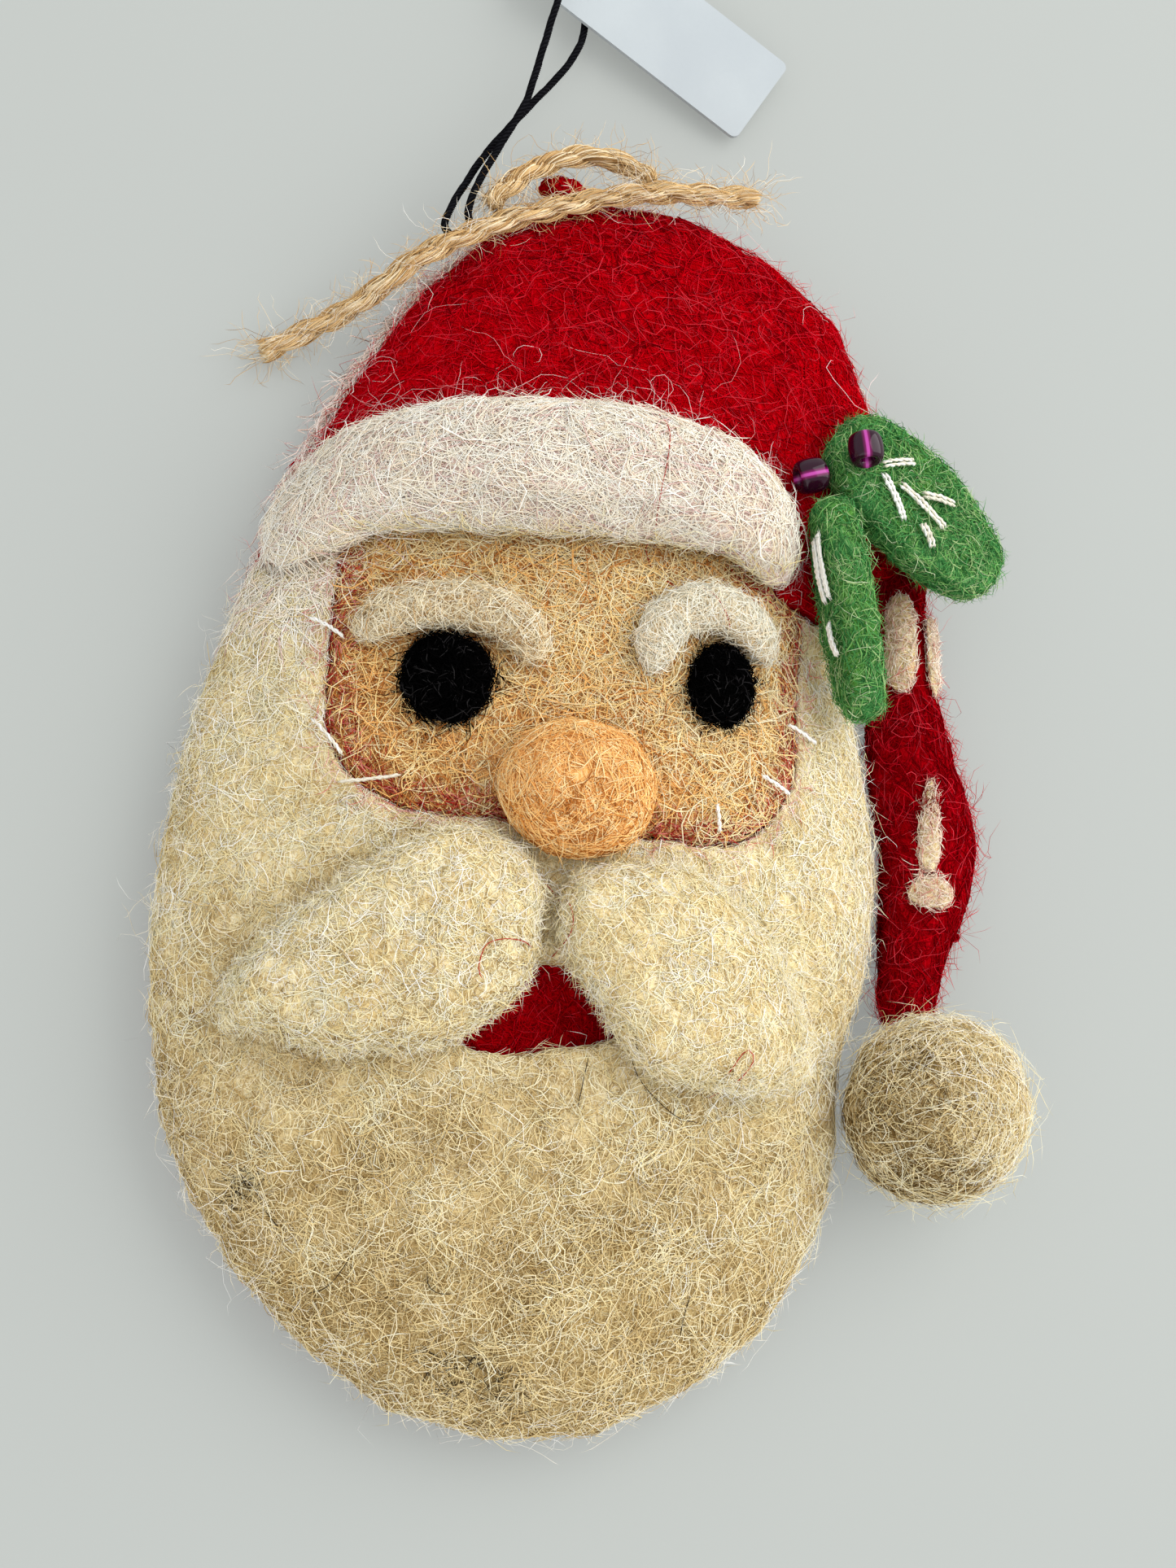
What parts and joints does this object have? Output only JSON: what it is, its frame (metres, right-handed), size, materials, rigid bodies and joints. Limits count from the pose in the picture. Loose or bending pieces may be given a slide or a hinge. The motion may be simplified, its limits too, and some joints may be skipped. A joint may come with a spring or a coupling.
{
  "type": "felt holiday ornament",
  "caption": "Stuffed felt ornament: a bearded head in a red hat with a swinging hat tail and pom-pom, holly leaves, beads, a twine hanging loop and a blank hang tag.",
  "frame": {"origin": "on the flat back face of the back panel, under the nose", "axes": "+Z out of the face as the ornament lies on its back, +Y from the beard to the hat's top, +X to the viewer's right"},
  "size_m": [0.0825, 0.156, 0.0229],
  "materials": {
    "red_felt": "needled wool felt, fuzzy",
    "cream_felt": "needled wool felt, fuzzy",
    "white_felt": "soft carded wool felt",
    "peach_felt": "needled wool felt, fuzzy",
    "nose_wool": "wound and needled wool",
    "black_felt": "cut wool felt",
    "green_felt": "thick cut wool felt",
    "wool_filling": "loose carded wool",
    "plum_glass": "glossy lined glass",
    "white_thread": "soft cotton thread",
    "jute_twine": "two-ply hairy twine",
    "black_elastic": "thin covered elastic cord",
    "white_card": "matt card"
  },
  "bodies": {
    "head": {"back_panel": "red_felt", "wool_filling": "wool_filling", "base_panel": "red_felt", "hat_crown": "red_felt", "beard_panel": "cream_felt", "face_panel": "peach_felt", "hat_brim": "white_felt", "left_eyebrow": "white_felt", "right_eyebrow": "white_felt", "left_eye": "black_felt", "right_eye": "black_felt", "nose": "nose_wool", "left_moustache": "cream_felt", "right_moustache": "cream_felt", "hanger_tab": "red_felt", "lower_bead": "plum_glass", "face_stitch_1": "white_thread", "face_stitch_2": "white_thread", "face_stitch_3": "white_thread", "face_stitch_4": "white_thread", "face_stitch_5": "white_thread", "face_stitch_6": "white_thread", "tie_strand": "jute_twine"},
    "tail": {"hat_tail": "red_felt", "tail_bar": "cream_felt", "tail_knob": "cream_felt", "tail_oval": "cream_felt", "tail_stripe": "cream_felt"},
    "pom_pom": {"pom_pom": "cream_felt"},
    "right_leaf": {"right_leaf": "green_felt", "upper_bead": "plum_glass", "right_leaf_vein_1": "white_thread", "right_leaf_vein_2": "white_thread", "right_leaf_vein_3": "white_thread", "right_leaf_vein_4": "white_thread", "right_leaf_vein_5": "white_thread"},
    "left_leaf": {"left_leaf": "green_felt", "left_leaf_vein_1": "white_thread", "left_leaf_vein_2": "white_thread", "left_leaf_vein_3": "white_thread"},
    "loop": {"hanging_loop": "jute_twine"},
    "tag": {"tag_elastic": "black_elastic", "hang_tag": "white_card"}
  },
  "joints": [
    {"name": "tail_swing", "type": "hinge", "parent": "head", "child": "tail", "pos_m": [0.0334, 0.031, 0.0041], "axis": [0, 0, 1], "range_deg": [0, 40]},
    {"name": "pom_pom_swing", "type": "hinge", "parent": "tail", "child": "pom_pom", "pos_m": [0.0359, -0.014, 0.0041], "axis": [0, 0, 1], "range_deg": [0, 30]},
    {"name": "right_leaf_lift", "type": "hinge", "parent": "head", "child": "right_leaf", "pos_m": [0.0236, 0.0395, 0.0134], "axis": [-0.6293, -0.7771, 0], "range_deg": [0, 30]},
    {"name": "left_leaf_lift", "type": "hinge", "parent": "head", "child": "left_leaf", "pos_m": [0.0239, 0.0315, 0.0169], "axis": [-0.969, -0.247, 0], "range_deg": [0, 30]},
    {"name": "loop_lift", "type": "hinge", "parent": "head", "child": "loop", "pos_m": [-0.0038, 0.0612, 0.009], "axis": [0.925, 0.38, 0], "range_deg": [0, 75]},
    {"name": "tag_flip", "type": "hinge", "parent": "head", "child": "tag", "pos_m": [-0.0146, 0.0562, 0.009], "axis": [0.8446, 0.5354, 0], "range_deg": [0, 60]}
  ]
}
